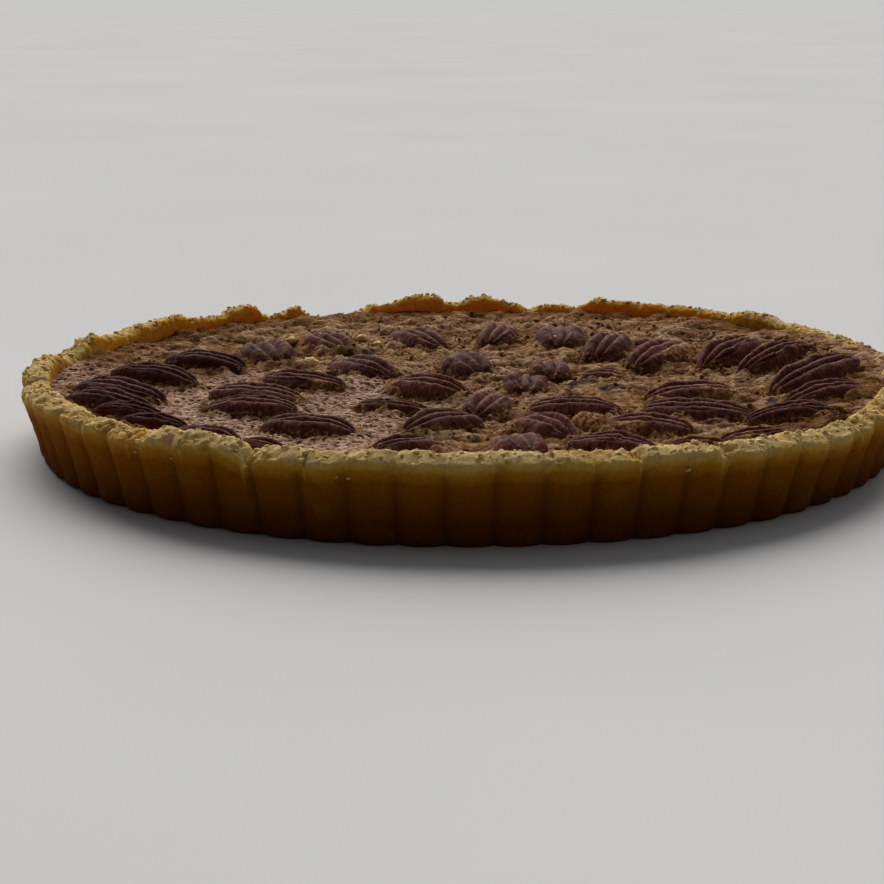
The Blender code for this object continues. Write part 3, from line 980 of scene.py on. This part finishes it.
def pecan_skin():
    """Baked pecan: dark maroon brown, with painted shade darkening the grooves, and crumb stuck on low
    down.
    """
    look = Shades("pecan_skin")
    combined = look.tree.nodes.new("ShaderNodeCombineXYZ")
    look.link(look.attribute("run"), combined, 0)
    look.link(look.attribute("side"), combined, 1)
    rings = look.tree.nodes.new("ShaderNodeMapping")
    rings.inputs["Scale"].default_value = (1.1 * MM, 0.4 * MM, 1.0)
    look.link(combined.outputs[0], rings, "Vector")
    wrinkle = look.mix(0.5, look.noise(1.0, 4.0, rings.outputs[0]), look.noise(2.0, 6.0))
    skin_stops = ((0.38, (0.055, 0.014, 0.011)), (0.5, (0.14, 0.042, 0.032)), (0.62, (0.28, 0.105, 0.082)))
    colour = look.ramp(wrinkle, skin_stops)
    worn = look.ramp(look.noise(5.0, 4.0), ((0.5, 0.0), (0.72, 0.55)))
    colour = look.mix(worn, colour, (0.16, 0.050, 0.024))
    colour = look.mix(look.attribute("dark"), colour, (0.024, 0.006, 0.005))
    # Painted shade: the grooves and furrows darkened to near black.
    grooves = look.ramp(look.attribute("groove"), ((0.05, 0.0), (0.6, 0.92)))
    colour = look.mix(grooves, colour, (0.014, 0.004, 0.003))
    speckle = look.noise(1.4, 6.0, roughness=0.7)
    crumbs = look.ramp(speckle, ((0.42, 0.0), (0.56, 1.0)))
    coated = look.mix(look.attribute("low"), (0.0, 0.0, 0.0), crumbs)
    coated = look.mix(1.0, coated, look.attribute("coat"), "LIGHTEN")
    crumb_stops = ((0.36, (0.060, 0.020, 0.007)), (0.5, (0.25, 0.105, 0.035)), (0.66, (0.52, 0.30, 0.13)))
    colour = look.mix(coated, colour, look.ramp(speckle, crumb_stops))
    roughness = look.ramp(wrinkle, ((0.3, 0.5), (0.7, 0.65)))
    look.bump(look.sum(look.sum(wrinkle, look.noise(0.9, 4.0), 0.6), coated, 0.8), 0.5)
    return look.finish(colour, roughness, 0.008)


def loose_crumb():
    """Crumb broken off the filling, each its own brown."""
    look = Shades("loose_crumb")
    tones = ((0.0, (0.13, 0.045, 0.012)), (0.5, (0.36, 0.155, 0.045)), (1.0, (0.62, 0.36, 0.14)))
    colour = look.ramp(look.attribute("tone"), tones)
    dark = look.ramp(look.noise(0.7, 5.0), ((0.4, 0.6), (0.6, 0.0)))
    colour = look.mix(dark, colour, (0.07, 0.025, 0.008))
    grain = look.noise(0.5, 5.0)
    look.bump(grain, 0.4)
    return look.finish(colour, look.ramp(grain, ((0.3, 0.7), (0.7, 0.9))), 0.03)


def crust_crumb():
    """Pale golden crumb broken off the rim."""
    look = Shades("crust_crumb")
    grain = look.noise(0.9, 6.0)
    colour = look.ramp(grain, ((0.35, (0.62, 0.38, 0.10)), (0.62, (0.86, 0.66, 0.29))))
    look.bump(grain, 0.6)
    return look.finish(colour, look.ramp(grain, ((0.3, 0.7), (0.7, 0.9))), 0.03)


def pale_floor():
    look = Shades("pale_floor")
    colour = look.ramp(look.noise(300.0, 2.0), ((0.3, (0.55, 0.56, 0.57)), (0.7, (0.58, 0.59, 0.60))))
    return look.finish(colour, look.ramp(look.noise(80.0, 2.0), ((0.3, 0.85), (0.7, 0.95))), 0.0)


# ---------------------------------------------------------------- stage


def add_camera():
    data = bpy.data.cameras.new("camera")
    data.lens = CAMERA_LENS
    camera = bpy.data.objects.new("camera", data)
    camera.location = Vector(CAMERA_PLACE) * MM
    camera.rotation_euler = (math.radians(90.0 - CAMERA_PITCH), 0.0, 0.0)
    bpy.context.scene.collection.objects.link(camera)
    bpy.context.scene.camera = camera


def add_soft_sun(name, towards, spread, power, colour):
    """A soft, even light from a direction, its disc spread degrees across."""
    data = bpy.data.lights.new(name, "SUN")
    data.angle = math.radians(spread)
    data.energy = power
    data.color = colour
    light = bpy.data.objects.new(name, data)
    light.rotation_euler = (-Vector(towards)).to_track_quat("-Z", "Y").to_euler()
    bpy.context.scene.collection.objects.link(light)


def add_floor():
    mesh = bpy.data.meshes.new("floor")
    reach = 30.0
    corners = [(-reach, -reach, 0.0), (reach, -reach, 0.0), (reach, reach, 0.0), (-reach, reach, 0.0)]
    mesh.from_pydata(corners, [], [(0, 1, 2, 3)])
    mesh.materials.append(pale_floor())
    floor = bpy.data.objects.new("floor", mesh)
    bpy.context.scene.collection.objects.link(floor)


def add_world():
    """A studio bright behind the tart, softer at its sides and dim in front of it."""
    world = bpy.data.worlds.new("world")
    world.use_nodes = True
    nodes = world.node_tree.nodes
    place = nodes.new("ShaderNodeTexCoord")
    split = nodes.new("ShaderNodeSeparateXYZ")
    halved = nodes.new("ShaderNodeMath")
    halved.operation = "MULTIPLY_ADD"
    halved.inputs[1].default_value = 0.5
    halved.inputs[2].default_value = 0.5
    ramp = nodes.new("ShaderNodeValToRGB")
    elements = ramp.color_ramp.elements
    elements.new(0.5)
    for element, (position, colour) in zip(elements, WORLD_STOPS):
        element.position = position
        element.color = (*colour, 1.0)
    links = world.node_tree.links
    links.new(place.outputs["Generated"], split.inputs[0])
    links.new(split.outputs["Y"], halved.inputs[0])
    links.new(halved.outputs[0], ramp.inputs["Fac"])
    links.new(ramp.outputs["Color"], nodes["Background"].inputs["Color"])
    bpy.context.scene.world = world


def add_stage():
    add_floor()
    add_world()
    add_soft_sun("window", (-0.12, 1.0, 0.62), 60.0, 4.8, (1.0, 0.96, 0.91))
    add_soft_sun("overhead", (0.3, -0.2, 1.0), 60.0, 0.15, (1.0, 0.98, 0.95))
    bpy.context.scene.view_settings.view_transform = "Standard"


# ---------------------------------------------------------------- the tart


def main():
    add_camera()
    add_stage()
    filling_cad = surface_of(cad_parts["filling"])

    def bed(x, y):
        """The height of the filling's CAD top at each point, in mm."""
        radius = np.maximum(np.hypot(x, y), 1e-6)
        inside = np.minimum(radius, BED_REACH) / radius
        return heights_on(filling_cad, x * inside, y * inside, BED_LEVEL)

    crust = build_crust()
    crust.data.materials.append(shortcrust())
    nuts = [Nut(name, bed) for name in sorted(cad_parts) if name.startswith("pecan_")]
    skin = pecan_skin()
    for nut in nuts:
        build_nut(nut, bed).data.materials.append(skin)
    filling = build_filling(nuts, bed)
    filling.data.materials.append(baked_filling())
    bpy.context.view_layer.update()
    top = surface_of(filling)
    loose = build_crumbs("loose_crumbs", loose_places(nuts), 5, top, 1, CRUMB_STAND)
    loose.data.materials.append(loose_crumb())
    golden = crust_crumb()
    large = build_crumbs("crust_crumbs", np.array(CRUST_CRUMBS), 3, top, 3, CRUMB_STAND)
    large.data.materials.append(golden)
    rim = build_crumbs("rim_crumbs", rim_places(), 9, surface_of(crust), 1, RIM_CRUMB_STAND)
    rim.data.materials.append(golden)


main()
